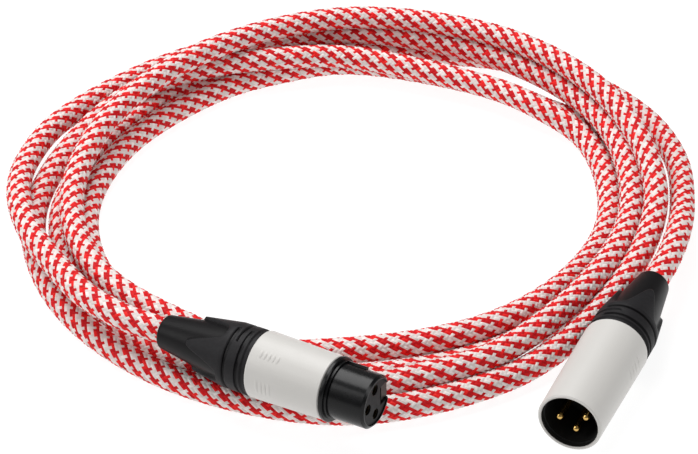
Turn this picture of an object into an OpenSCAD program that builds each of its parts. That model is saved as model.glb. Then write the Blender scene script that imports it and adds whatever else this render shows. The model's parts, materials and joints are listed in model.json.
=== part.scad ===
// A balanced audio cable with a woven sleeve, wound into a loose round coil, with a
// three-contact socket connector on one end and a three-contact plug connector on the other.
// Millimetres, +Z up. The origin is the middle of the model's footprint, on the floor.
// Each connector is drawn along its own axis: z = 0 at the cable end of its boot, +Z towards
// its mating face, and +Y on the side of its key and latch.

/* [Cable] */
// Diameter over the woven sleeve
cable_d = 8; // [7.8:0.1:8.1]
// Diameter of the jacket under the sleeve
jacket_d = 6.2; // [5.8:0.1:6.6]
// Diameter of one insulated core
core_d = 1.5; // [1.2:0.1:1.6]

/* [Coil] */
// Inner radius of the wound turns
coil_inner_r = 79; // [76:1:82]
// Outer radius of the wound turns
coil_outer_r = 108.5; // [106:0.5:109]
// Radius where the high inner turns step down to the turns lying on the floor
coil_step_r = 93; // [90:0.5:93.5]
// Height of the inner turns, which lie on each other
coil_high = 16; // [12:1:18]
// Height of the outer turns, one cable high
coil_low = 7.8; // [7:0.1:7.8]

/* [Connector] */
// Outer radius of a shell at its cable end
shell_rear_r = 10.1; // [9.9:0.1:10.3]
// Outer radius of a shell at its mating end
shell_front_r = 9.6; // [9.4:0.1:9.8]
// Length of a boot, up to the shell
boot_l = 33.4; // [33.2:0.1:33.6]
// Whole length of a connector
connector_l = 71.3; // [71:0.1:71.5]
// Distance of each contact from the connector's axis
contact_r = 4.15; // [4.1:0.05:4.2]
// Diameter of a contact pin
pin_d = 2.4; // [2.3:0.05:2.4]

/* [Boot] */
// Outer radius of a boot at the cable end
boot_rear_r = 5.1; // [5:0.1:5.4]
// Outer radius of a boot at its ring
boot_front_r = 9.9; // [9.8:0.1:10]
// Number of raised fingers round a boot
fingers = 4; // [3:1:4]
// How far a finger stands proud
finger_h = 1.1; // [0.6:0.1:1.1]

/* [Socket connector] */
// Length of the white shell of the socket connector
socket_shell_l = 24.2; // [24:0.1:24.4]
// Radius of the nose that enters the other connector
nose_r = 8.1; // [8.05:0.01:8.12]
// Width of the latch
latch_w = 5.4; // [5:0.1:5.6]

/* [Plug connector] */
// Radius of the mouth that takes the nose of another connector
mouth_r = 8.23; // [8.2:0.01:8.3]
// How far behind the rim the pins end
pin_recess = 2.2; // [2:0.1:2.4]

/* [Hidden] */
$fn = 48;

e = 0.01;        // what a cut runs past a face
fit = 0.02;      // gap between two pieces that sit tight in each other
gap = 0.3;       // gap beside a piece that moves

// Where the coil's centre, the route's centre and the connectors lie
route_centre = [0.1, 3.2, 0];
coil_offset = [-6, 8, 0];
socket_rear = [-54, -80.8, 17.5];
socket_heading = -30;
socket_tilt = 1.35;
socket_roll = -90;
plug_rear = [93.3, -49.7, 12.5];
plug_heading = 244.3;
plug_tilt = -2.3;
plug_roll = 17;

// The cable's route outside the coil: clock angle, distance from the route's centre and
// height of its middle, from each connector to where it lies among the turns
SOCKET_ROUTE = [
    [225, 99.5, 17], [217, 100, 16], [205, 99.5, 13.5], [192, 103, 12], [178, 108, 10.5],
    [165, 111.5, 8.5], [150, 113, 8],
];
PLUG_ROUTE = [
    [-12, 106.5, 12.5], [0, 108.5, 9.5], [15, 114, 7.5], [30, 119, 5.5], [45, 120, 5],
    [60, 117, 4.5], [75, 112, 4],
];
straight_l = 5;                         // straight cable behind a boot, for the boot to back off along
lead_l = 12;                            // second point of each route, still on the connector's axis
ring_step = 10;                         // distance between the rings of a swept tube
wire_step = 1;                          // the same for a wire inside a connector
tube_sides = 12;
coil_edge = 2;                          // chamfer round the coil's outline

// Boots and chucks, in stations along a connector
sleeve_end_z = 14;                      // the woven sleeve ends inside the boot
jacket_end_z = 39;                      // the jacket ends behind the contacts
boot_bore_r = cable_d / 2 + 0.15;       // hole of a boot round the cable
boot_inner_r = 7.5;                     // room inside a boot for the chuck
finger_z = [11.8, 23.2];                // a finger's tip, and where the fingers join the ring
finger_half_w = 5.6;                    // half a finger's width at the ring
socket_boot_turn = -34.5;               // turns the fingers round the connector's axis
plug_boot_turn = 47.5;
ring_z = [23.2, 31.8];                  // ring at the front of a boot
groove_z = [25.65, 29.95];              // the two grooves of that ring
groove_w = 0.9;
groove_d = 0.5;
collar_r = 9.4;                         // plain collar between the ring and the shell
thread_l = 5.4;                         // threaded spigot of a boot inside its shell
thread_r = 7.9;
chuck_z = 20;
chuck_l = 16;
chuck_rear_r = 6.2;
chuck_r = 7.1;
chuck_front_r = 6.6;

// Shells and contacts
thread_seat_l = 8.8;                    // thread seat inside a shell, room to screw in
thread_seat_r = thread_r + 0.1;
shell_bore_r = 8.4;
shell_edge = 0.4;
insert_rear_z = 46;
contact_rear_z = 44;                    // rear of the solder cups
cup_l = 4;
cup_r = 1.4;
cup_hole_r = 0.95;
cup_front_z = contact_rear_z + cup_l;
core_r = core_d / 2;
pin_r = pin_d / 2;
ear_l = 2.5;                            // solder ear of a ground ring
ear_w = 1.8;
ground_ring_t = 0.5;

// Socket connector
socket_front_z = boot_l + socket_shell_l;
flange_l = 2.2;
flange_r = 9.7;
nose_z = socket_front_z + flange_l;
nose_edge = 0.7;
nose_lead_l = 3.8;                      // slimmer front of the nose
nose_lead_r = nose_r - 0.18;
nose_lead_z = connector_l - nose_edge - nose_lead_l;
nose_bore_r = 6.9;
nose_spigot_l = 5;                      // rear of the nose, inside the shell
key_angle = 53;                         // the key lies this far from the latch
contact_front_z = connector_l - 0.9;
contact_bore_r = pin_r + 0.025;
contact_bore_z = 52;
contact_tube_r = 1.55;
latch_z = [46.8, connector_l - 1];
latch_y = [6.3, 7.5];                   // the latch plate's faces
latch_tab_z = [49.8, 57.1];
latch_gap_w = latch_w + 2 * gap;        // slot that the latch moves in
pocket_y = 2.9;                         // floor of the carrier's pocket under the latch
socket_ring_z = 51.6;                   // ground ring, behind the nose's spigot

// Plug connector
plug_floor_z = 55.8;                    // floor of the plug's mouth
mouth_lead_l = 2;                       // wider front of the mouth, in front of the pins
mouth_lead_r = mouth_r + 0.37;
rim_l = 0.3;                            // chamfer at the mouth's rim
pin_base_r = 1.45;                      // thicker stretch of a pin, inside the carrier
plug_hub_r = 6.6;
plug_disc_z = 50;
plug_ring_z = 49.4;                     // ground ring, behind the carrier's disc
plug_split_w = 3;                       // split in that ring

// The contacts' places: 1 and 2 beside the key, 3 across from it. A plug mirrors a socket.
SOCKET_PLACES = [[contact_r, 0], [-contact_r, 0], [0, -contact_r]];
PLUG_PLACES = [[-contact_r, 0], [contact_r, 0], [0, -contact_r]];

// ---- placing ----

module place(rear, heading, tilt, roll) {
    translate(route_centre + rear) rotate([0, 90 - tilt, heading]) rotate([0, 0, 90 + roll]) children();
}

module at_socket() {
    place(socket_rear, socket_heading, socket_tilt, socket_roll) children();
}

module at_plug() {
    place(plug_rear, plug_heading, plug_tilt, plug_roll) children();
}

// The point z along a connector's axis
function along(rear, heading, tilt, z) =
    rear + z * [cos(tilt) * cos(heading), cos(tilt) * sin(heading), sin(tilt)];

// ---- swept cable ----

function clock(p) = [p[1] * cos(p[0]), p[1] * sin(p[0]), p[2]];
function knot(t, a, b) = t + sqrt(norm(b - a));
function mix(a, b, ta, tb, t) = (a * (tb - t) + b * (t - ta)) / (tb - ta);

// A point between p1 and p2 on the smooth curve through p0, p1, p2 and p3
function between(p0, p1, p2, p3, f) =
    let (
        t1 = knot(0, p0, p1),
        t2 = knot(t1, p1, p2),
        t3 = knot(t2, p2, p3),
        t = t1 + f * (t2 - t1),
        a = mix(p0, p1, 0, t1, t),
        b = mix(p1, p2, t1, t2, t),
        c = mix(p2, p3, t2, t3, t)
    )
    mix(mix(a, b, 0, t2, t), mix(b, c, t1, t3, t), t1, t2, t);

// The smooth curve through the points P, as points about a step apart
function smooth(P, step) =
    let (n = len(P), Q = concat([2 * P[0] - P[1]], P, [2 * P[n - 1] - P[n - 2]]))
    concat(
        [for (i = [0 : n - 2], k = max(1, round(norm(P[i + 1] - P[i]) / step)), j = [0 : k - 1])
            between(Q[i], Q[i + 1], Q[i + 2], Q[i + 3], j / k)],
        [P[n - 1]]
    );

// Tube along the points C, with its rings set square to the curve and turned to the upright given
module tube(C, r, upright = [0, 0, 1]) {
    n = len(C);
    s = tube_sides;
    points = [
        for (i = [0 : n - 1])
            let (
                t = C[min(i + 1, n - 1)] - C[max(i - 1, 0)],
                side = cross(t, upright) / norm(cross(t, upright)),
                up = cross(side, t) / norm(t)
            )
            for (j = [0 : s - 1]) C[i] + r * (cos(360 * j / s) * side + sin(360 * j / s) * up)
    ];
    sides = [
        for (i = [0 : n - 2], j = [0 : s - 1])
            [i * s + j, (i + 1) * s + j, (i + 1) * s + (j + 1) % s, i * s + (j + 1) % s]
    ];
    ends = [[for (j = [0 : s - 1]) j], [for (j = [s - 1 : -1 : 0]) (n - 1) * s + j]];
    polyhedron(points, concat(sides, ends), convexity = 6);
}

module cable_end(rear, heading, tilt, route) {
    start = [for (z = [-straight_l, -lead_l]) along(rear, heading, tilt, z)];
    translate(route_centre) tube(smooth(concat(start, [for (p = route) clock(p)]), ring_step), cable_d / 2);
}

// ---- shared connector pieces ----

module ring(z, length, r, bore) {
    translate([0, 0, z]) difference() {
        cylinder(r = r, h = length);
        translate([0, 0, -e]) cylinder(r = bore, h = length + 2 * e);
    }
}

// One raised finger's outline, width against height, with a round tip towards the cable
module finger_outline() {
    w = finger_half_w;
    l = finger_z[1] - finger_z[0];
    arc = [for (a = [-90 : 15 : 90]) [w * sin(a), finger_z[1] - l * cos(a)]];
    polygon(concat(arc, [[w, ring_z[0] + e], [-w, ring_z[0] + e]]));
}

// Rubber boot: a cone with raised fingers, a grooved ring and the threaded spigot that screws
// into the shell. The cable runs through it, and the chuck sits inside it.
module boot() {
    edge = 0.6;
    r = boot_front_r;
    front_z = boot_l + thread_l;
    grooves = [for (z = groove_z) each [
        [r, z], [r - groove_d, z + e], [r - groove_d, z + groove_w], [r, z + groove_w + e],
    ]];
    difference() {
        union() {
            rotate_extrude() polygon(concat(
                [[0, 0], [boot_rear_r - edge, 0], [boot_rear_r, edge]],
                [[r - finger_h, ring_z[0]], [r, ring_z[0]]],
                grooves,
                [[r, ring_z[1]], [collar_r, ring_z[1] + e], [collar_r, boot_l], [thread_r, boot_l],
                    [thread_r, front_z], [0, front_z]]
            ));
            intersection() {
                rotate_extrude() polygon([
                    [0, 0], [boot_rear_r + finger_h, 0], [r, ring_z[0]], [r, ring_z[0] + e],
                    [0, ring_z[0] + e],
                ]);
                for (k = [1 : fingers]) rotate([0, 0, 360 * k / fingers]) rotate([90, 0, 0])
                    linear_extrude(shell_rear_r) finger_outline();
            }
        }
        rotate_extrude() polygon([
            [0, -e], [boot_bore_r, -e], [boot_bore_r, sleeve_end_z + 0.5],
            [boot_inner_r, chuck_z], [boot_inner_r, front_z + e], [0, front_z + e],
        ]);
    }
}

// Slotted collet that grips the jacket when the boot is screwed home
module chuck() {
    slot_w = 0.8;
    slot_l = 11;
    taper_l = 3;
    bore_r = jacket_d / 2 + fit;
    translate([0, 0, chuck_z]) difference() {
        rotate_extrude() polygon([
            [bore_r, 0], [chuck_rear_r, 0], [chuck_r, taper_l], [chuck_r, chuck_l - taper_l],
            [chuck_front_r, chuck_l], [bore_r, chuck_l],
        ]);
        for (a = [0, 90]) rotate([0, 0, a])
            translate([-boot_inner_r, -slot_w / 2, -e]) cube([2 * boot_inner_r, slot_w, slot_l]);
    }
}

// The shell both connectors share: a slightly tapered tube with a thread seat at the back
module shell(front_z, front_r, bore_r) {
    seat_z = boot_l + thread_seat_l;
    rotate_extrude() polygon([
        [thread_seat_r, boot_l], [shell_rear_r - shell_edge, boot_l], [shell_rear_r, boot_l + shell_edge],
        [front_r, front_z - shell_edge], [front_r - shell_edge, front_z], [bore_r, front_z],
        [bore_r, seat_z], [thread_seat_r, seat_z],
    ]);
}

// End of the cable inside the boot: the sleeve stops short and the jacket runs on to the chuck
module jacket_end() {
    translate([0, 0, -straight_l]) cylinder(d = cable_d, h = straight_l + sleeve_end_z);
    translate([0, 0, sleeve_end_z]) cylinder(d = jacket_d, h = jacket_end_z - sleeve_end_z);
}

// A core from the jacket's end into the solder cup at the place given
module core(place, start) {
    bend_l = 1;
    stations = [contact_rear_z - bend_l, contact_rear_z, contact_rear_z + 2 * bend_l];
    points = concat(
        [for (z = [jacket_end_z, jacket_end_z + bend_l]) [start[0], start[1], z]],
        [for (z = stations) [place[0], place[1], z]]
    );
    tube(smooth(points, wire_step), core_r, [0, 1, 0]);
}

// Solder cup on the back of a contact
module cup() {
    floor_t = 1;
    difference() {
        translate([0, 0, contact_rear_z]) cylinder(r = cup_r, h = cup_l);
        translate([0, 0, contact_rear_z - e]) cylinder(r = cup_hole_r, h = cup_l - floor_t);
    }
}

module contact_holes(places, r, z0, z1) {
    for (p = places) translate([p[0], p[1], z0 - e]) cylinder(r = r, h = z1 - z0 + 2 * e);
}

// Split ring that ties the shell to the cable's shield, with a solder ear across from the split
module ground_ring(z, bore, r, split_w) {
    difference() {
        ring(z, ground_ring_t, r, bore);
        translate([-split_w / 2, 0, z - e]) cube([split_w, r + e, ground_ring_t + 2 * e]);
    }
    translate([-ear_w / 2, -bore - 2 * ground_ring_t, z - ear_l])
        cube([ear_w, ground_ring_t, ear_l + ground_ring_t / 2]);
}

// ---- socket connector ----

module socket_shell_body() {
    window_z = [latch_tab_z[0] - gap, latch_tab_z[1] + 3 * gap];
    difference() {
        shell(socket_front_z, shell_front_r - 0.1, shell_bore_r);
        translate([-latch_gap_w / 2, 0, window_z[0]])
            cube([latch_gap_w, shell_rear_r + e, window_z[1] - window_z[0]]);
    }
}

// Black nose: a flange against the shell, a tube that enters the mating mouth, and a spigot
// inside the shell, with a slot on the latch side and a key ridge
module nose_body() {
    step_r = 8.65;
    flange_edge = 0.3;
    flange_t = 1.4;
    spigot_z = socket_front_z - nose_spigot_l;
    spigot_r = shell_bore_r - fit;
    key_w = 1.8;
    key_r = 8.7;
    key_z = nose_z - 0.2;
    key_front_z = nose_lead_z - 1.2;
    difference() {
        union() {
            rotate_extrude() polygon([
                [nose_bore_r, spigot_z], [spigot_r, spigot_z], [spigot_r, socket_front_z],
                [flange_r - flange_edge, socket_front_z], [flange_r, socket_front_z + flange_edge],
                [flange_r, socket_front_z + flange_t - flange_edge],
                [flange_r - flange_edge, socket_front_z + flange_t],
                [step_r, socket_front_z + flange_t], [step_r, nose_z], [nose_r, nose_z + e],
                [nose_r, nose_lead_z], [nose_lead_r, nose_lead_z + e],
                [nose_lead_r, connector_l - nose_edge], [nose_lead_r - nose_edge, connector_l],
                [nose_bore_r, connector_l],
            ]);
            rotate([0, 0, key_angle]) translate([-key_w / 2, nose_bore_r + fit, key_z])
                cube([key_w, key_r - nose_bore_r - fit, key_front_z - key_z]);
        }
        translate([-latch_gap_w / 2, 0, spigot_z - e]) cube([latch_gap_w, shell_rear_r + e, connector_l]);
    }
}

// Carrier of the three contacts, with a flat pocket for the latch and its spring
module socket_insert_body() {
    front_z = connector_l - 0.4;
    rear_wall_t = 0.8;
    difference() {
        translate([0, 0, insert_rear_z]) cylinder(r = nose_bore_r - fit, h = front_z - insert_rear_z);
        contact_holes(SOCKET_PLACES, contact_tube_r + fit, cup_front_z, front_z);
        contact_holes(SOCKET_PLACES, cup_r + fit, insert_rear_z, cup_front_z);
        translate([-latch_gap_w / 2, pocket_y, insert_rear_z + rear_wall_t])
            cube([latch_gap_w, nose_r, connector_l]);
    }
}

// Socket contact: a tube that takes a pin, closed at the back, with its solder cup
module contact_body(place) {
    translate([place[0], place[1], 0]) {
        cup();
        difference() {
            translate([0, 0, cup_front_z]) cylinder(r = contact_tube_r, h = contact_front_z - cup_front_z);
            translate([0, 0, contact_bore_z]) cylinder(r = contact_bore_r, h = connector_l);
        }
    }
}

// Latch: a plate under the shell with the push tab, the hook on the nose and a front lip
module latch_body() {
    hook_z = [62.5, 65.5];
    hook_y = nose_r + 1;
    hook_top_z = [hook_z[0] + 0.3, hook_z[0] + 0.9];
    hook_w = latch_w - 1.2;
    lip_y = 4.4;
    lip_l = 1;
    translate([-latch_w / 2, latch_y[0], latch_z[0]])
        cube([latch_w, latch_y[1] - latch_y[0], latch_z[1] - latch_z[0]]);
    translate([-latch_w / 2, lip_y, latch_z[1] - lip_l]) cube([latch_w, latch_y[1] - lip_y, lip_l]);
    intersection() {
        translate([-latch_w / 2, latch_y[1] - e, latch_tab_z[0]])
            cube([latch_w, shell_rear_r - latch_y[1], latch_tab_z[1] - latch_tab_z[0]]);
        cylinder(r = shell_front_r - 0.05, h = connector_l);
    }
    rotate([90, 0, 90]) translate([0, 0, -hook_w / 2]) linear_extrude(hook_w) polygon([
        [latch_y[1] - e, hook_z[0]], [hook_y, hook_top_z[0]], [hook_y, hook_top_z[1]],
        [latch_y[1] - e, hook_z[1]],
    ]);
}

// Bowed leaf under the latch plate, which rides on it and stops short of the carrier
module latch_spring_body() {
    leaf_w = 3;
    leaf_t = 0.3;
    half_l = 6;
    bow = 1.7;
    middle_z = 56;
    step = 0.125;
    function leaf(s, y) = [y - bow * (1 - s * s), middle_z + s * half_l];
    outer = [for (s = [-1 : step : 1]) leaf(s, latch_y[0])];
    inner = [for (s = [1 : -step : -1]) leaf(s, latch_y[0] - leaf_t)];
    translate([-leaf_w / 2, 0, 0]) rotate([90, 0, 90]) linear_extrude(leaf_w) polygon(concat(outer, inner));
}

// ---- plug connector ----

// Shell of the plug: its front is the mouth, with a keyway for the key ridge of a mating nose and
// a recess that catches its latch
module plug_shell_body() {
    keyway_w = 2.4;
    keyway_r = 8.8;
    catch_w = 6.4;
    catch_r = 9;
    catch_z = [62, 66.5];
    difference() {
        shell(connector_l, shell_front_r, mouth_r);
        translate([0, 0, connector_l - mouth_lead_l]) cylinder(r = mouth_lead_r, h = mouth_lead_l + e);
        translate([0, 0, connector_l - rim_l])
            cylinder(r1 = mouth_lead_r, r2 = mouth_lead_r + rim_l, h = rim_l + e, $fn = 96);
        rotate([0, 0, -key_angle]) translate([-keyway_w / 2, 0, plug_floor_z])
            cube([keyway_w, keyway_r, connector_l]);
        translate([-catch_w / 2, 0, catch_z[0]]) cube([catch_w, catch_r, catch_z[1] - catch_z[0]]);
    }
}

module plug_insert_body() {
    difference() {
        union() {
            translate([0, 0, insert_rear_z]) cylinder(r = plug_hub_r, h = plug_floor_z - insert_rear_z);
            translate([0, 0, plug_disc_z]) cylinder(r = mouth_r - fit, h = plug_floor_z - plug_disc_z);
        }
        contact_holes(PLUG_PLACES, pin_base_r + fit, cup_front_z, plug_floor_z);
        contact_holes(PLUG_PLACES, cup_r + fit, insert_rear_z, cup_front_z);
    }
}

// Contact pin: round tip, plain shank, thicker base inside the carrier and a solder cup
module pin_body(place) {
    round_z = connector_l - pin_recess - pin_r;
    translate([place[0], place[1], 0]) {
        cup();
        translate([0, 0, cup_front_z]) cylinder(r = pin_base_r, h = plug_floor_z - cup_front_z);
        translate([0, 0, plug_floor_z]) cylinder(r = pin_r, h = round_z - plug_floor_z);
        translate([0, 0, round_z]) sphere(r = pin_r);
    }
}

// ---- nodes ----

module cable_coil() {
    c = coil_edge;
    color("firebrick") translate(route_centre + coil_offset) rotate_extrude($fn = 120) polygon([
        [coil_inner_r, c], [coil_inner_r + c, 0], [coil_outer_r - c, 0], [coil_outer_r, c],
        [coil_outer_r, coil_low - c], [coil_outer_r - c, coil_low], [coil_step_r, coil_low],
        [coil_step_r, coil_high - c], [coil_step_r - c, coil_high],
        [coil_inner_r + c, coil_high], [coil_inner_r, coil_high - c],
    ]);
}

module cable_socket_end() {
    color("firebrick") cable_end(socket_rear, socket_heading, socket_tilt, SOCKET_ROUTE);
}

module cable_plug_end() {
    color("firebrick") cable_end(plug_rear, plug_heading, plug_tilt, PLUG_ROUTE);
}

module socket_boot() {
    color([0.08, 0.08, 0.09]) at_socket() rotate([0, 0, socket_boot_turn]) boot();
}

module socket_chuck() {
    color("dimgray") at_socket() chuck();
}

module socket_shell() {
    color([0.9, 0.9, 0.88]) at_socket() socket_shell_body();
}

module socket_nose() {
    color([0.06, 0.06, 0.06]) at_socket() nose_body();
}

module socket_insert() {
    color([0.12, 0.12, 0.12]) at_socket() socket_insert_body();
}

module socket_contact(k) {
    color("gold") at_socket() contact_body(SOCKET_PLACES[k - 1]);
}

module socket_latch() {
    color([0.2, 0.18, 0.16]) at_socket() latch_body();
}

module socket_latch_spring() {
    color("silver") at_socket() latch_spring_body();
}

module socket_ground_ring() {
    color("silver") at_socket() ground_ring(socket_ring_z, nose_bore_r, shell_bore_r - fit, latch_gap_w);
}

module socket_jacket_end() {
    color("black") at_socket() jacket_end();
}

module socket_core_a() {
    color("red") at_socket() core(SOCKET_PLACES[1], [-1.2, 0.6]);
}

module socket_core_b() {
    color("white") at_socket() core(SOCKET_PLACES[2], [0.3, -1.4]);
}

module socket_shield_wire() {
    color("silver") at_socket() core(SOCKET_PLACES[0], [1.2, 0.6]);
}

module plug_boot() {
    color([0.08, 0.08, 0.09]) at_plug() rotate([0, 0, plug_boot_turn]) boot();
}

module plug_chuck() {
    color("dimgray") at_plug() chuck();
}

module plug_shell() {
    color([0.9, 0.9, 0.88]) at_plug() plug_shell_body();
}

module plug_insert() {
    color([0.04, 0.04, 0.04]) at_plug() plug_insert_body();
}

module plug_pin(k) {
    color("gold") at_plug() pin_body(PLUG_PLACES[k - 1]);
}

module plug_ground_ring() {
    color("silver") at_plug() ground_ring(plug_ring_z, plug_hub_r + fit, mouth_r - fit, plug_split_w);
}

module plug_jacket_end() {
    color("black") at_plug() jacket_end();
}

module plug_core_a() {
    color("red") at_plug() core(PLUG_PLACES[1], [1.2, 0.6]);
}

module plug_core_b() {
    color("white") at_plug() core(PLUG_PLACES[2], [0.3, -1.4]);
}

module plug_shield_wire() {
    color("silver") at_plug() core(PLUG_PLACES[0], [-1.2, 0.6]);
}

cable_coil();
cable_socket_end();
cable_plug_end();
socket_boot();
socket_chuck();
socket_shell();
socket_nose();
socket_insert();
socket_contact(1);  // socket_contact_1
socket_contact(2);  // socket_contact_2
socket_contact(3);  // socket_contact_3
socket_latch();
socket_latch_spring();
socket_ground_ring();
socket_jacket_end();
socket_core_a();
socket_core_b();
socket_shield_wire();
plug_boot();
plug_chuck();
plug_shell();
plug_insert();
plug_pin(1);  // plug_pin_1
plug_pin(2);  // plug_pin_2
plug_pin(3);  // plug_pin_3
plug_ground_ring();
plug_jacket_end();
plug_core_a();
plug_core_b();
plug_shield_wire();
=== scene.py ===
"""Looks of a coiled balanced cable: a red and white woven sleeve, with a three-contact socket
connector on one end and a three-pin plug connector on the other. Everything is in the row frame
and in metres, except the sizes of connector details, which are in millimetres along and round
the connector's own axis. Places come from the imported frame."""

import json
import math

import bmesh
import bpy
import numpy as np
from mathutils import Matrix, Vector


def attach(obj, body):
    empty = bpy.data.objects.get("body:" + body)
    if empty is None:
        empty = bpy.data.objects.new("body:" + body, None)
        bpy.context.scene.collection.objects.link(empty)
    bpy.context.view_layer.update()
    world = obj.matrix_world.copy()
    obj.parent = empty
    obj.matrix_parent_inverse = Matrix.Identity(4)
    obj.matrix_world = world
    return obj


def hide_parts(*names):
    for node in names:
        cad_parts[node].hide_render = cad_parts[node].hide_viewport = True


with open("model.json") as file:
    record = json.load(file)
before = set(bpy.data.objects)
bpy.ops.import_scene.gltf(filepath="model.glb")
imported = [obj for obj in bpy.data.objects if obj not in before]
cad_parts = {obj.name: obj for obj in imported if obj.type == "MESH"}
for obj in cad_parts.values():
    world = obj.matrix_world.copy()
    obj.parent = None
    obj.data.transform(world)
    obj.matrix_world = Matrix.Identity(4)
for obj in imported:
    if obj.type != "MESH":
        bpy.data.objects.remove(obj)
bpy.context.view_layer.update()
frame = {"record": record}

MM = 0.001
TAU = 2 * math.pi
joints = {joint["name"]: joint for joint in frame["record"]["behaviour"]["joints"]}
mounts = {mount["name"]: mount for mount in frame["record"]["mounts"]}


# ---- where the connectors lie ----


def connector_axes(screw, key):
    """A connector's own axes: origin at its cable end, +Z to its mating face, +Y to its key."""
    z = -Vector(joints[screw]["axis"])
    y = (key - key.dot(z) * z).normalized()
    axes = Matrix((y.cross(z), y, z)).transposed().to_4x4()
    axes.translation = Vector(joints[screw]["pos_m"])
    return axes


plug_middle = Vector(mounts["plug_mouth"]["pos_m"])
plug_pin_3 = Vector(mounts["plug_pin_3"]["pos_m"])
SOCKET = connector_axes("socket_boot_screw", -Vector(joints["latch_press"]["axis"]))
PLUG = connector_axes("plug_boot_screw", plug_middle - plug_pin_3)


# ---- camera ----

CAMERA_PLACE = (0.0001, -0.6084, 0.4125)
CAMERA_DOWN = 34     # degrees below level
SENSOR_W = 36
LENS = 116
CLIP_START = 0.01


def make_camera():
    """Looks along +Y and a third of the way down at the coil, from about three quarters of a metre."""
    camera = bpy.data.objects.new("camera", bpy.data.cameras.new("camera"))
    camera.location = CAMERA_PLACE
    camera.rotation_euler = (math.radians(90 - CAMERA_DOWN), 0, 0)
    camera.data.sensor_width = SENSOR_W
    camera.data.lens = LENS
    camera.data.clip_start = CLIP_START
    bpy.context.scene.collection.objects.link(camera)
    bpy.context.scene.camera = camera


make_camera()


# ---- the cable's route ----

CABLE_R = 4 * MM
ROUTE_CENTRE = Vector((0.0001, 0.0032, 0))
LEAD_IN = 0.010      # the sleeve starts this far inside each boot
STRAIGHT = 0.005     # straight cable behind a boot
LEAD_OUT = 0.012     # second point behind a boot, still on the connector's axis
SPAN_SAMPLES = 60    # places worked out between two points of the route

# Each point is a clock angle in degrees, a distance from the route's centre and a height, going
# clockwise from the socket connector.
SOCKET_ROUTE = [
    (225, 0.0995, 0.017), (217, 0.1, 0.016), (205, 0.0995, 0.0135), (192, 0.103, 0.012),
    (178, 0.108, 0.0105), (165, 0.1115, 0.0085), (150, 0.113, 0.008),
]
TURNS = [
    [(120, 0.1115, 0.0095), (90, 0.11, 0.0115), (60, 0.106, 0.0115), (30, 0.0995, 0.012),
     (0, 0.092, 0.0105), (-30, 0.088, 0.0115), (-60, 0.091, 0.0089), (-75, 0.0925, 0.0083),
     (-90, 0.094, 0.0076)],
    [(-120, 0.086, 0.012), (-150, 0.0885, 0.0125), (-180, 0.09, 0.0125), (-210, 0.092, 0.0165),
     (-240, 0.097, 0.0195), (-270, 0.1075, 0.019), (-300, 0.108, 0.019), (-330, 0.102, 0.0195),
     (0, 0.0995, 0.014), (-30, 0.0955, 0.009), (-60, 0.0975, 0.004), (-90, 0.1015, 0.004)],
    [(-120, 0.1005, 0.004), (-150, 0.101, 0.004), (-180, 0.103, 0.004), (-210, 0.105, 0.005),
     (-225, 0.1015, 0.011), (-240, 0.0975, 0.012), (-255, 0.0945, 0.0115), (-270, 0.0945, 0.01),
     (-300, 0.0905, 0.0085), (-315, 0.0905, 0.0085), (-330, 0.094, 0.0045), (0, 0.085, 0.004),
     (-30, 0.0785, 0.006), (-60, 0.078, 0.0085), (-90, 0.0775, 0.008)],
    [(-120, 0.0815, 0.004), (-150, 0.0842, 0.004), (-180, 0.0858, 0.004), (-210, 0.088, 0.004),
     (-240, 0.0935, 0.004), (-255, 0.097, 0.004), (-270, 0.1005, 0.004), (-300, 0.0975, 0.004),
     (-315, 0.0972, 0.004), (-330, 0.102, 0.004), (0, 0.097, 0.004), (-30, 0.0865, 0.004),
     (-60, 0.0845, 0.004), (-90, 0.0857, 0.004)],
    [(-120, 0.0925, 0.004), (-150, 0.0925, 0.004), (-180, 0.094, 0.004), (-210, 0.096, 0.004),
     (-225, 0.0985, 0.004), (-240, 0.104, 0.004), (-270, 0.109, 0.004)],
]
PLUG_ROUTE = [
    (-12, 0.1065, 0.0125), (0, 0.1085, 0.0095), (15, 0.114, 0.0075), (30, 0.119, 0.0055),
    (45, 0.12, 0.005), (60, 0.117, 0.0045), (75, 0.112, 0.004),
]


def clock(angle, distance, height):
    """The place at a clock angle in degrees, a distance from the route's centre and a height."""
    turn = math.radians(angle)
    return ROUTE_CENTRE + Vector((distance * math.cos(turn), distance * math.sin(turn), height))


def route_points():
    """The route's points, from inside the socket connector's boot to inside the plug connector's."""
    stations = SOCKET_ROUTE + [station for turn in TURNS for station in turn] + PLUG_ROUTE[::-1]
    ends = [[axes @ Vector((0, 0, z)) for z in (LEAD_IN, -STRAIGHT, -LEAD_OUT)] for axes in (SOCKET, PLUG)]
    return ends[0] + [clock(*station) for station in stations] + ends[1][::-1]


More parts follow.
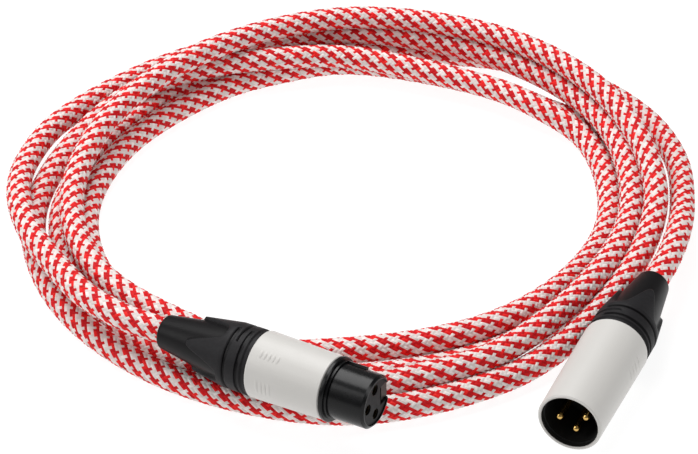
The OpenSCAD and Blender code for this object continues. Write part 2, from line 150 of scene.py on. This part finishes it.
def smooth_line(points, spacing):
    """The centripetal spline through the points, as points an equal distance apart, and its length."""
    p = np.array([tuple(v) for v in points])
    p = np.vstack([2 * p[0] - p[1], p, 2 * p[-1] - p[-2]])
    knots = np.concatenate([[0], np.cumsum(np.sqrt(np.linalg.norm(np.diff(p, axis=0), axis=1)))])
    dense = []
    for i in range(1, len(p) - 2):
        t = np.linspace(knots[i], knots[i + 1], SPAN_SAMPLES, endpoint=False)[:, None]

        def mix(a, b, ta, tb):
            return (a * (tb - t) + b * (t - ta)) / (tb - ta)

        k = knots[i - 1:i + 3]
        a = mix(p[i - 1], p[i], k[0], k[1])
        b = mix(p[i], p[i + 1], k[1], k[2])
        c = mix(p[i + 1], p[i + 2], k[2], k[3])
        dense.append(mix(mix(a, b, k[0], k[2]), mix(b, c, k[1], k[3]), k[1], k[2]))
    line = np.vstack(dense + [p[-2:-1]])
    line[:, 2] = np.maximum(line[:, 2], CABLE_R)
    run = np.concatenate([[0], np.cumsum(np.linalg.norm(np.diff(line, axis=0), axis=1))])
    steps = int(round(run[-1] / spacing))
    at = np.linspace(0, run[-1], steps + 1)
    return np.column_stack([np.interp(at, run, line[:, k]) for k in range(3)]), run[-1]


# ---- materials ----


class Shader:
    """A material's nodes, with short calls for the few kinds used here. Scales of noise are per
    metre, and depths in metres."""

    def __init__(self, name, colour, roughness, **sockets):
        self.material = bpy.data.materials.new(name)
        self.material.use_nodes = True
        self.material.diffuse_color = (*colour, 1)
        self.tree = self.material.node_tree
        self.surface = self.tree.nodes["Principled BSDF"]
        self.set(self.surface, **{"Base Color": (*colour, 1), "Roughness": roughness}, **sockets)

    def set(self, node, **values):
        """Gives each named input its value, or a link where the value is another node's output."""
        for name, value in values.items():
            if hasattr(value, "node"):
                self.tree.links.new(value, node.inputs[name])
            else:
                node.inputs[name].default_value = value
        return node

    def node(self, kind, **values):
        return self.set(self.tree.nodes.new("ShaderNode" + kind), **values)

    def noise(self, scale, detail):
        coords = self.node("TexCoord").outputs["Object"]
        return self.node("TexNoise", Vector=coords, Scale=scale, Detail=detail).outputs["Fac"]

    def mottled(self, dark, light, scale, detail):
        """A colour that wanders from dark to light."""
        ramp = self.node("ValToRGB", Fac=self.noise(scale, detail))
        for element, colour in zip(ramp.color_ramp.elements, (dark, light)):
            element.color = (*colour, 1)
        self.set(self.surface, **{"Base Color": ramp.outputs["Color"]})

    def uneven(self, low, high, scale, detail=3):
        """A roughness that wanders from low to high."""
        rough = self.node("MapRange", Value=self.noise(scale, detail), **{"To Min": low, "To Max": high})
        self.set(self.surface, Roughness=rough.outputs["Result"])

    def grain(self, scale, strength, depth, detail=2):
        """Fine relief by bump."""
        bump = self.node("Bump", Height=self.noise(scale, detail), Strength=strength, Distance=depth)
        self.set(self.surface, Normal=bump.outputs["Normal"])


def yarn(name, colour, sheen_tint):
    """Twisted fibre yarn: fine fibres by bump, a soft sheen, uneven roughness."""
    shader = Shader(name, colour, 0.62, **{
        "Specular IOR Level": 0.2, "Sheen Weight": 0.06, "Sheen Roughness": 0.4,
        "Sheen Tint": (*sheen_tint, 1),
    })
    shader.grain(scale=5200, strength=0.35, depth=0.00012, detail=4)
    shader.uneven(low=0.5, high=0.74, scale=1400, detail=2)
    return shader.material


def shell_paint():
    """Satin white paint on metal, faintly uneven."""
    shader = Shader("white_paint", (0.60, 0.585, 0.56), 0.42, **{
        "Specular IOR Level": 0.3, "Coat Weight": 0.1, "Coat Roughness": 0.25,
    })
    shader.mottled(dark=(0.585, 0.57, 0.545), light=(0.605, 0.59, 0.565), scale=60, detail=2)
    shader.uneven(low=0.38, high=0.48, scale=300)
    shader.grain(scale=900, strength=0.06, depth=0.0001, detail=3)
    return shader.material


def rubber():
    """Soft black rubber with a fine moulded grain, a little mottled."""
    shader = Shader("black_rubber", (0.011, 0.010, 0.0115), 0.55, **{"Specular IOR Level": 0.18})
    shader.mottled(dark=(0.007, 0.0065, 0.0075), light=(0.016, 0.015, 0.0165), scale=900, detail=3)
    shader.uneven(low=0.45, high=0.62, scale=500, detail=4)
    shader.grain(scale=2600, strength=0.3, depth=0.0001, detail=3)
    return shader.material


def smooth_rubber_painted_shade():
    """The same rubber where its mould is polished, glossier, and darker as painted shade in the hollows
    and grooves.
    """
    shader = Shader("smooth_rubber_painted_shade", (0.004, 0.0035, 0.004), 0.38, **{"Specular IOR Level": 0.14})
    shader.uneven(low=0.32, high=0.44, scale=400)
    shader.grain(scale=1800, strength=0.08, depth=0.00005)
    return shader.material


def black_lacquer():
    """Black lacquered metal of the nose."""
    shader = Shader("black_lacquer", (0.002, 0.002, 0.0025), 0.26, **{"Specular IOR Level": 0.22})
    shader.uneven(low=0.22, high=0.31, scale=400)
    shader.grain(scale=1500, strength=0.05, depth=0.00005)
    return shader.material


def carrier_plastic():
    """Black moulded plastic that holds the contacts."""
    shader = Shader("carrier_plastic", (0.006, 0.006, 0.007), 0.45, **{"Specular IOR Level": 0.15})
    shader.uneven(low=0.42, high=0.6, scale=700)
    shader.grain(scale=3000, strength=0.15, depth=0.00005)
    return shader.material


def metal(name, colour, roughness):
    shader = Shader(name, colour, roughness, Metallic=1.0)
    shader.uneven(low=roughness * 0.75, high=roughness * 1.3, scale=900)
    shader.grain(scale=1800, strength=0.05, depth=0.00004)
    return shader.material


def plastic(name, colour, roughness):
    shader = Shader(name, colour, roughness)
    shader.uneven(low=roughness * 0.8, high=roughness * 1.2, scale=800)
    shader.grain(scale=2000, strength=0.08, depth=0.00005)
    return shader.material


def yarn_shades(name, shades, sheen_tint):
    return [yarn(f"{name}_{k + 1}", shade, sheen_tint) for k, shade in enumerate(shades)]


WHITE_YARNS = yarn_shades(
    "white_yarn", [(0.79, 0.71, 0.685), (0.72, 0.64, 0.615), (0.86, 0.785, 0.76)], (1, 1, 1))
RED_YARNS = yarn_shades(
    "red_yarn", [(0.68, 0.006, 0.009), (0.55, 0.003, 0.007), (0.80, 0.013, 0.012)], (1, 0.5, 0.45))
PAINT = shell_paint()
RUBBER = rubber()
SMOOTH_RUBBER_PAINTED_SHADE = smooth_rubber_painted_shade()
LACQUER = black_lacquer()
CARRIER = carrier_plastic()
GOLD = metal("gold_plate", (0.62, 0.40, 0.13), 0.12)
# gold of the socket's contacts, darkened as painted shade of the holes they sit in
GOLD_PAINTED_SHADE = metal("gold_in_painted_shade", (0.10, 0.07, 0.03), 0.35)
DARK_METAL = metal("latch_metal", (0.05, 0.042, 0.038), 0.38)
SPRING_STEEL = metal("spring_steel", (0.62, 0.61, 0.6), 0.28)
TINNED = metal("tinned_wire", (0.72, 0.70, 0.67), 0.35)
# black plastic of the plug's insert, and black painted shade on the inside of the plug's mouth
INSERT_BLACK_AND_MOUTH_SHADE = plastic("insert_black_and_mouth_shade", (0.003, 0.003, 0.003), 0.6)
JACKET = plastic("jacket_black", (0.02, 0.02, 0.02), 0.5)
CHUCK = plastic("chuck_grey", (0.09, 0.09, 0.09), 0.45)
CORE_RED = plastic("core_red", (0.55, 0.02, 0.02), 0.35)
CORE_WHITE = plastic("core_white", (0.78, 0.76, 0.72), 0.35)


# ---- meshes ----


def mesh_object(name, points, quads, materials, indices=None):
    """A smooth-shaded object from points and quads, with a material's index for each quad."""
    mesh = bpy.data.meshes.new(name)
    points = np.asarray(points, dtype=np.float32)
    quads = np.asarray(quads, dtype=np.int32)
    mesh.vertices.add(len(points))
    mesh.vertices.foreach_set("co", points.ravel())
    mesh.loops.add(quads.size)
    mesh.loops.foreach_set("vertex_index", quads.ravel())
    mesh.polygons.add(len(quads))
    mesh.polygons.foreach_set("loop_start", np.arange(len(quads), dtype=np.int32) * quads.shape[1])
    for material in materials:
        mesh.materials.append(material)
    if indices is not None:
        mesh.polygons.foreach_set("material_index", np.asarray(indices, dtype=np.int32))
    mesh.polygons.foreach_set("use_smooth", np.ones(len(quads), dtype=bool))
    mesh.update(calc_edges=True)
    mesh.validate()
    made = bpy.data.objects.new(name, mesh)
    bpy.context.scene.collection.objects.link(made)
    return made


# ---- the woven sleeve ----

YARNS = 20                # yarns running each way round the sleeve
YARN_PITCH = 1.62 * MM    # distance along the cable between two yarns of one direction
CELL_STEPS = 3   # mesh steps across one crossing
GROOVE_R = 3.74 * MM      # between the yarns
CROWN_R = 4.12 * MM       # at the top of a yarn
FLOAT = 2                 # crossings that a yarn passes over, and then under
CROWN_POWER = 2.4         # the higher, the flatter a yarn is across
DIVE_POWER = 0.55         # the lower, the steeper a yarn dives at its float's ends
NUDGE = 1e-4              # how far from a crossing's edge a height is read


def float_place(i, j):
    """For places in the weave: whether the yarn of the first direction is on top, how far along
    its float the place is, from 0 to FLOAT, how far across the yarn, from 0 to 1, and the row and
    column of the crossing."""
    row = np.floor(i).astype(int)
    column = np.floor(j).astype(int)
    phase = (row + column) % (2 * FLOAT)
    first = phase < FLOAT
    u = i - row
    v = j - column
    return first, np.where(first, phase + v, phase - FLOAT + u), np.where(first, u, v), row, column


def yarn_height(i, j):
    """Height of the yarn on top at places in the weave, from 0 in a groove to 1 on a crown."""
    _, lengthwise, across, _, _ = float_place(i, j)
    crown = 1 - np.abs(2 * across - 1) ** CROWN_POWER
    dive = np.sin(np.clip(lengthwise / FLOAT, 0, 1) * math.pi) ** DIVE_POWER
    return crown * dive


def yarn_shade(number, start):
    """Which of the three shades a float has: a fixed scramble of its yarn and where it starts."""
    return (number * 7 + start * 13 + (number * start) % 5) % 3


def woven_sleeve(line):
    """A tube of raised yarns along the line. Mesh edges follow the yarns, so that each face lies
    on one yarn. Two yarns in turn are white and two are red, in both directions."""
    steps = CELL_STEPS
    tangent = np.gradient(line, axis=0)
    tangent /= np.linalg.norm(tangent, axis=1)[:, None]
    up = np.array([0, 0, 1.0]) - tangent * tangent[:, 2:3]
    up /= np.linalg.norm(up, axis=1)[:, None]
    side = np.cross(tangent, up)

    columns = YARNS * steps
    ring, column = np.meshgrid(np.arange(len(line)), np.arange(columns), indexing="ij")
    turn = 2 * column + ring % 2
    p = (turn - ring) / 2
    q = (turn + ring) / 2
    height = np.max([yarn_height(p / steps + a * NUDGE, q / steps + b * NUDGE)
                     for a in (-1, 1) for b in (-1, 1)], axis=0)
    radius = GROOVE_R + (CROWN_R - GROOVE_R) * height
    angle = -turn * math.pi / columns
    outward = np.cos(angle)[..., None] * up[:, None] + np.sin(angle)[..., None] * side[:, None]
    points = line[:, None] + radius[..., None] * outward

    a = ring[1:-1]
    b = turn[1:-1]

    def vertex(ring_number, turn_number):
        return ring_number * columns + (turn_number // 2) % columns

    quads = np.stack([vertex(a, b), vertex(a - 1, b + 1), vertex(a, b + 2), vertex(a + 1, b + 1)], axis=-1)
    middle_i = ((b + 1 - a) / 2) / steps
    middle_j = ((b + 1 + a) / 2) / steps
    first, lengthwise, _, row, cell = float_place(middle_i, middle_j)
    number = np.where(first, row, cell)
    start = np.where(first, cell, row) - (lengthwise >= 1)
    red = (number // 2) % 2
    return mesh_object("woven_sleeve", points.reshape(-1, 3), quads.reshape(-1, 4),
                       WHITE_YARNS + RED_YARNS, (red * 3 + yarn_shade(number, start)).ravel())


line, cable_length = smooth_line(route_points(), YARN_PITCH / (2 * CELL_STEPS))
sleeve = woven_sleeve(line)
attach(sleeve, "cable")
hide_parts("cable_coil", "cable_socket_end", "cable_plug_end")


# ---- surfaces turned about a connector's axis ----

COLUMNS = 256
TURNED_SHARP = math.radians(50)


def ramp(value, width):
    """0 well below zero, 1 well above it, and smooth over the width between them."""
    share = np.clip(value / width + 0.5, 0, 1)
    return share * share * (3 - 2 * share)


def from_axes(local, axes):
    """Places given in millimetres on a connector's own axes, in the row frame."""
    matrix = np.array(axes)
    return local.reshape(-1, 3) * MM @ matrix[:3, :3].T + matrix[:3, 3]


def around_tube(ring, column, columns, rings):
    """The four vertices of the quad between a ring and the next, and a column and the next."""
    beyond = (ring + 1) % rings
    beside = (column + 1) % columns
    quads = np.stack([ring * columns + column, ring * columns + beside,
                      beyond * columns + beside, beyond * columns + column], -1)
    return quads.reshape(-1, 4)


def turned(name, axes, stations, radii, materials, body, indices=None):
    """A closed tube round a connector's axis. Each station has a radius for each column; the
    stations run out along the outside and back along the bore. indices are the materials'
    numbers, station by station and column by column."""
    rings = len(stations)
    angle = np.arange(COLUMNS) * TAU / COLUMNS
    along = np.repeat(stations[:, None], COLUMNS, 1)
    local = np.stack([radii * np.cos(angle), radii * np.sin(angle), along], -1)
    ring, column = np.meshgrid(np.arange(rings), np.arange(COLUMNS), indexing="ij")
    quads = around_tube(ring, column, COLUMNS, rings)
    made = mesh_object(name, from_axes(local, axes), quads, materials, indices)
    made.data.set_sharp_from_angle(angle=TURNED_SHARP)
    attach(made, body)
    return made


# ---- rubber boots ----

BOOT_L = 33.4
BOOT_RINGS = 168           # mesh rings along the outside
BOOT_REAR_R = 5.1          # between the fingers, at the cable end
BOOT_TAPER = 0.151         # how much the radius grows for each mm
REAR_EDGE = 0.8            # rounding of the cable end
FINGER_H = 1.1
FINGER_TIP = 11.8          # station of a finger's tip
FINGER_RUN = 11.4          # from a finger's tip to where the fingers join
FINGER_EDGE = 0.55         # width of the rounded step at a finger's edge
FINGER_SPACING = 90
FLANK_START = 0.05         # share of a finger's half width where its tip turns into its flank
FLANK_SPAN = 0.8           # share that the flank takes
RING_R = 9.9
RING_END = 31.8
COLLAR_R = 9.4             # in front of the ring
COLLAR_EDGE = 0.25
GROOVE_W = 0.95
GROOVE_D = 0.55
GROOVE_EDGE = 0.22
GROOVE_LIP = 0.1           # a groove's surface is smooth rubber with painted shade from this depth on
THREAD_L = 5.4
THREAD_RINGS = 49          # mesh rings along the thread
THREAD_R = 7.68
THREAD_H = 0.2
THREAD_PITCH = 0.75
THREAD_FADE = 0.6          # the thread fades in and out over this length
BORE = [(BOOT_L + THREAD_L, 7.3), (20, 7.3), (14.5, 4.25), (0.3, 4.25), (0, 4.5)]
# Each groove's station and the angles it runs between, from the middle of a finger
GROOVES = [(26.1, -150, 58), (30.4, -150, 58), (28.25, 31, 237)]


def finger_share(z, around):
    """1 on a finger and 0 in the hollow beside it."""
    half = FINGER_SPACING / 2
    off = np.abs((around + half) % FINGER_SPACING - half) / half
    flank = np.clip((off - FLANK_START) / FLANK_SPAN, 0, 1)
    edge = FINGER_TIP + FINGER_RUN * (1 - np.cos(math.pi * flank)) / 2
    half_arc = (BOOT_REAR_R + BOOT_TAPER * edge) * math.radians(half)
    slope = FINGER_RUN * math.pi / (2 * FLANK_SPAN) * np.sin(math.pi * flank) / half_arc
    return ramp((z - edge) / np.hypot(1, slope), FINGER_EDGE)


def groove_depth(z, around):
    """Depth below the ring of the grooves that run part of the way round it."""
    depth = np.zeros(np.broadcast(z, around).shape)
    for station, start, end in GROOVES:
        beyond = np.abs((around - (start + end) / 2 + 180) % 360 - 180) - (end - start) / 2
        arc = RING_R * np.radians(np.maximum(beyond, 0))
        inside = GROOVE_W / 2 - np.hypot(z - station, arc)
        depth = np.maximum(depth, GROOVE_D * ramp(inside, GROOVE_EDGE))
    return depth


def boot_radius(z, around):
    radius = BOOT_REAR_R + BOOT_TAPER * z + FINGER_H * finger_share(z, around)
    radius = np.minimum(radius, RING_R)
    inset = np.clip(1 - z / REAR_EDGE, 0, 1)
    radius = radius - REAR_EDGE * (1 - np.sqrt(1 - inset ** 2))
    radius = radius - groove_depth(z, around)
    return radius - (RING_R - COLLAR_R) * ramp(z - RING_END, COLLAR_EDGE)


def thread_radius(z, around):
    """Ridges of the thread in front of the boot, fading in and out at its ends."""
    wave = np.abs((z / THREAD_PITCH - around / 360) % 1 - 0.5) * 2
    fade_in = ramp(z - BOOT_L - THREAD_FADE, THREAD_FADE)
    fade_out = ramp(BOOT_L + THREAD_L - THREAD_FADE - z, THREAD_FADE)
    return THREAD_R + THREAD_H * wave * (fade_in * fade_out)


def boot(side, axes, finger_turn):
    """Rubber boot with raised fingers and a grooved ring, and the threaded spigot that screws
    into the shell. Its bore lets the cable through."""
    around = (np.arange(COLUMNS) * 360 / COLUMNS - finger_turn)[None, :]
    outside = np.linspace(0, BOOT_L, BOOT_RINGS)
    thread = np.linspace(BOOT_L, BOOT_L + THREAD_L, THREAD_RINGS)
    bore = np.array(BORE)
    radii = np.vstack([
        boot_radius(outside[:, None], around),
        thread_radius(thread[:, None], around),
        np.repeat(bore[:, 1:], COLUMNS, 1),
    ])
    stations = np.concatenate([outside, thread, bore[:, 0]])
    # Faces off the fingers and in the grooves get the smooth rubber, darker as painted shade; the grained
    # faces keep the lighter rubber
    on_finger = finger_share(stations[:, None], around) > 0.5
    grained_unshaded = on_finger & (groove_depth(stations[:, None], around) < GROOVE_LIP)
    made = turned(f"{side}_boot_rubber", axes, stations, radii, [SMOOTH_RUBBER_PAINTED_SHADE, RUBBER],
                  f"{side}_boot", grained_unshaded.ravel())
    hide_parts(f"{side}_boot")


boot("socket", SOCKET, finger_turn=-34.5)
boot("plug", PLUG, finger_turn=47.5)


# ---- ends of the jacket, inside the boots ----

# Each point is a station and a radius, out along the outside and back along the inside
JACKET_PROFILE = [
    (8, 2.9), (8.3, 3.1), (38.8, 3.1), (39, 2.95), (39, 2.3), (38.6, 2.15), (8.4, 2.15), (8, 2.3),
]


def jacket_end(side, axes):
    profile = np.array(JACKET_PROFILE)
    made = turned(f"{side}_jacket_tube", axes, profile[:, 0], np.repeat(profile[:, 1:], COLUMNS, 1),
                  [JACKET], "cable")
    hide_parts(f"{side}_jacket_end")


jacket_end("socket", SOCKET)
jacket_end("plug", PLUG)


# ---- ribs on the shells ----

RIB_STEPS = 24
RIB_SIDES = 12
RIB_HALF_W = 0.75
RIB_H = 0.35
RIB_SINK = 0.2             # how far a rib's middle lies under the shell's surface
RIB_TIP = 0.02             # share of its full size that a rib keeps at its ends
SHELL_REAR_R = 10.1
SOCKET_SHELL_TAPER = 0.6 / 24.2
PLUG_SHELL_TAPER = 0.5 / 37.9


def ribs(name, axes, first, spacing, count, start, end, taper):
    """Low rounded ribs across a shell, each a slim lens that fades out at both ends. start and
    end are angles round the shell, and taper is what its radius loses for each mm."""
    share = np.linspace(0, 1, RIB_STEPS + 1)[:, None]
    turn = (np.arange(RIB_SIDES) * TAU / RIB_SIDES)[None, :]
    swell = np.sqrt(np.maximum(np.sin(share * math.pi), RIB_TIP ** 2))
    angle = np.radians(start + (end - start) * share)
    step, edge = np.meshgrid(np.arange(RIB_STEPS), np.arange(RIB_SIDES), indexing="ij")
    one_rib = around_tube(step, edge, RIB_SIDES, RIB_STEPS + 1)
    points = []
    quads = []
    for k in range(count):
        station = first + k * spacing
        shell_r = SHELL_REAR_R - (station - BOOT_L) * taper
        radius = shell_r - RIB_SINK + RIB_H * swell * np.cos(turn)
        along = station + RIB_HALF_W * swell * np.sin(turn)
        local = np.stack([radius * np.cos(angle), radius * np.sin(angle), along], -1)
        points.append(from_axes(local, axes))
        quads.append(one_rib + k * (RIB_STEPS + 1) * RIB_SIDES)
    made = mesh_object(name, np.vstack(points), np.vstack(quads), [PAINT])
    shape = bmesh.new()
    shape.from_mesh(made.data)
    bmesh.ops.holes_fill(shape, edges=shape.edges)
    bmesh.ops.recalc_face_normals(shape, faces=shape.faces)
    shape.to_mesh(made.data)
    shape.free()
    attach(made, "cable")


ribs("socket_ribs_upper", SOCKET, first=36.9, spacing=1.4, count=5, start=-156, end=-136,
     taper=SOCKET_SHELL_TAPER)
ribs("socket_ribs_lower", SOCKET, first=37.6, spacing=1.35, count=4, start=-108, end=-70,
     taper=SOCKET_SHELL_TAPER)
ribs("plug_ribs", PLUG, first=40.3, spacing=2.1, count=4, start=-22, end=14, taper=PLUG_SHELL_TAPER)


# ---- connector pieces with rounded edges ----

WELD = 0.002 * MM
FLAT = math.radians(0.5)         # faces that meet at less than this become one
ROUNDED = math.radians(25)       # edges sharper than this are rounded
SHARP = math.radians(40)         # edges sharper than this keep a crease in the shading
EDGE_SEGMENTS = 3


def soft_edged(name, node, width, materials, reshape=None):
    """A copy of a CAD node with its sharp edges rounded to the width, in place of the node."""
    shape = bmesh.new()
    shape.from_mesh(bpy.data.objects[node].data)
    bmesh.ops.remove_doubles(shape, verts=shape.verts, dist=WELD)
    if reshape:
        for vertex in shape.verts:
            reshape(vertex)
    bmesh.ops.dissolve_limit(shape, angle_limit=FLAT, verts=shape.verts, edges=shape.edges)
    edges = [edge for edge in shape.edges if edge.calc_face_angle(0) > ROUNDED]
    bmesh.ops.bevel(shape, geom=edges, offset=width * MM, segments=EDGE_SEGMENTS, profile=0.5,
                    affect="EDGES", clamp_overlap=True)
    mesh = bpy.data.meshes.new(name)
    shape.to_mesh(mesh)
    shape.free()
    for attribute in [a for a in mesh.attributes if a.name == "custom_normal"]:
        mesh.attributes.remove(attribute)
    mesh.materials.clear()
    for material in materials:
        mesh.materials.append(material)
    mesh.polygons.foreach_set("material_index", np.zeros(len(mesh.polygons), dtype=np.int32))
    mesh.shade_smooth()
    mesh.set_sharp_from_angle(angle=SHARP)
    made = bpy.data.objects.new(name, mesh)
    bpy.context.scene.collection.objects.link(made)
    made.modifiers.new("weighted_normals", "WEIGHTED_NORMAL").keep_sharp = True
    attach(made, "cable")
    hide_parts(node)
    return made


TO_SOCKET = SOCKET.inverted()
TO_PLUG = PLUG.inverted()
NOSE_TUBE_Z = 61 * MM                       # the nose's tube is in front of this station
NOSE_TUBE_R = (7.85 * MM, 8.15 * MM)        # its outside lies between these radii
NOSE_EVEN_R = 8.09 * MM                     # radius of the even tube at that station
NOSE_TAPER = 0.01
MOUTH_SHADE_Z = (50 * MM, 71 * MM)                # painted shade: black on the inside of the plug's mouth, up to its rim
MOUTH_SHADE_R = 8.64 * MM


def even_nose(vertex):
    """Draws the nose as one slightly tapered tube, without the fine step in front of the latch."""
    local = TO_SOCKET @ vertex.co
    if local.z > NOSE_TUBE_Z and NOSE_TUBE_R[0] < local.xy.length < NOSE_TUBE_R[1]:
        local.xy *= (NOSE_EVEN_R - (local.z - NOSE_TUBE_Z) * NOSE_TAPER) / local.xy.length
        vertex.co = SOCKET @ local


def shade_mouth(shell):
    """Gives the inside of the plug's mouth the shell's second material, black as painted shade."""
    for face in shell.data.polygons:
        middle = TO_PLUG @ face.center
        if MOUTH_SHADE_Z[0] < middle.z < MOUTH_SHADE_Z[1] and middle.xy.length < MOUTH_SHADE_R:
            face.material_index = 1


soft_edged("socket_shell_soft", "socket_shell", 0.3, [PAINT])
soft_edged("socket_nose_soft", "socket_nose", 0.3, [LACQUER], even_nose)
soft_edged("socket_insert_soft", "socket_insert", 0.14, [CARRIER])
# the plug shell's mouth gets black painted shade inside
shade_mouth(soft_edged("plug_shell_soft", "plug_shell", 0.22, [PAINT, INSERT_BLACK_AND_MOUTH_SHADE]))


# ---- CAD nodes that keep their shape ----

NODE_MATERIALS = {
    "socket_chuck": CHUCK,
    # the socket's contacts get the gold darkened as painted shade of their holes
    "socket_contact_1": GOLD_PAINTED_SHADE,
    "socket_contact_2": GOLD_PAINTED_SHADE,
    "socket_contact_3": GOLD_PAINTED_SHADE,
    "socket_latch": DARK_METAL,
    "socket_latch_spring": SPRING_STEEL,
    "socket_ground_ring": SPRING_STEEL,
    "socket_core_a": CORE_RED,
    "socket_core_b": CORE_WHITE,
    "socket_shield_wire": TINNED,
    "plug_chuck": CHUCK,
    "plug_insert": INSERT_BLACK_AND_MOUTH_SHADE,
    "plug_pin_1": GOLD,
    "plug_pin_2": GOLD,
    "plug_pin_3": GOLD,
    "plug_ground_ring": SPRING_STEEL,
    "plug_core_a": CORE_RED,
    "plug_core_b": CORE_WHITE,
    "plug_shield_wire": TINNED,
}
for node, material in NODE_MATERIALS.items():
    for slot in bpy.data.objects[node].material_slots:
        slot.material = material


# ---- the plug connector's pieces, listed ----

PLUG_PIECES = ["plug_boot_rubber", "plug_shell_soft", "plug_ribs", "plug_jacket_tube"]
PLUG_PIECES += [node for node in NODE_MATERIALS if node.startswith("plug_")]


# ---- floor and light ----

FLOOR_HALF = 3
FLOOR_GLOW = 0.9     # keeps the floor white, as in a shadowless studio
WORLD_LIGHT = 0.22


def make_floor():
    corners = [(x * FLOOR_HALF, y * FLOOR_HALF, 0) for x, y in ((-1, -1), (1, -1), (1, 1), (-1, 1))]
    floor = mesh_object("floor", corners, [(0, 1, 2, 3)], [])
    shader = Shader("floor_white", (0.16, 0.16, 0.16), 0.9, **{
        "Emission Color": (1, 1, 1, 1), "Emission Strength": FLOOR_GLOW,
    })
    shader.uneven(low=0.88, high=0.95, scale=3, detail=2)
    floor.data.materials.append(shader.material)


def area_light(name, place, size, power):
    """A soft box at the place, facing the coil."""
    lamp = bpy.data.lights.new(name, "AREA")
    lamp.shape = "RECTANGLE"
    lamp.size, lamp.size_y = size
    lamp.energy = power
    made = bpy.data.objects.new(name, lamp)
    made.location = place
    made.rotation_euler = (-Vector(place)).to_track_quat("-Z", "Y").to_euler()
    bpy.context.scene.collection.objects.link(made)


def make_light():
    world = bpy.data.worlds.new("studio")
    world.use_nodes = True
    background = world.node_tree.nodes["Background"]
    background.inputs["Color"].default_value = (1, 1, 1, 1)
    background.inputs["Strength"].default_value = WORLD_LIGHT
    bpy.context.scene.world = world
    area_light("top_box", place=(-0.25, 0.35, 1.0), size=(0.9, 0.7), power=12)
    area_light("left_box", place=(-0.9, -0.3, 0.6), size=(0.5, 0.7), power=4)
    area_light("right_box", place=(0.9, -0.5, 0.5), size=(0.4, 0.6), power=3)
    bpy.context.scene.view_settings.view_transform = "Standard"


make_floor()
make_light()
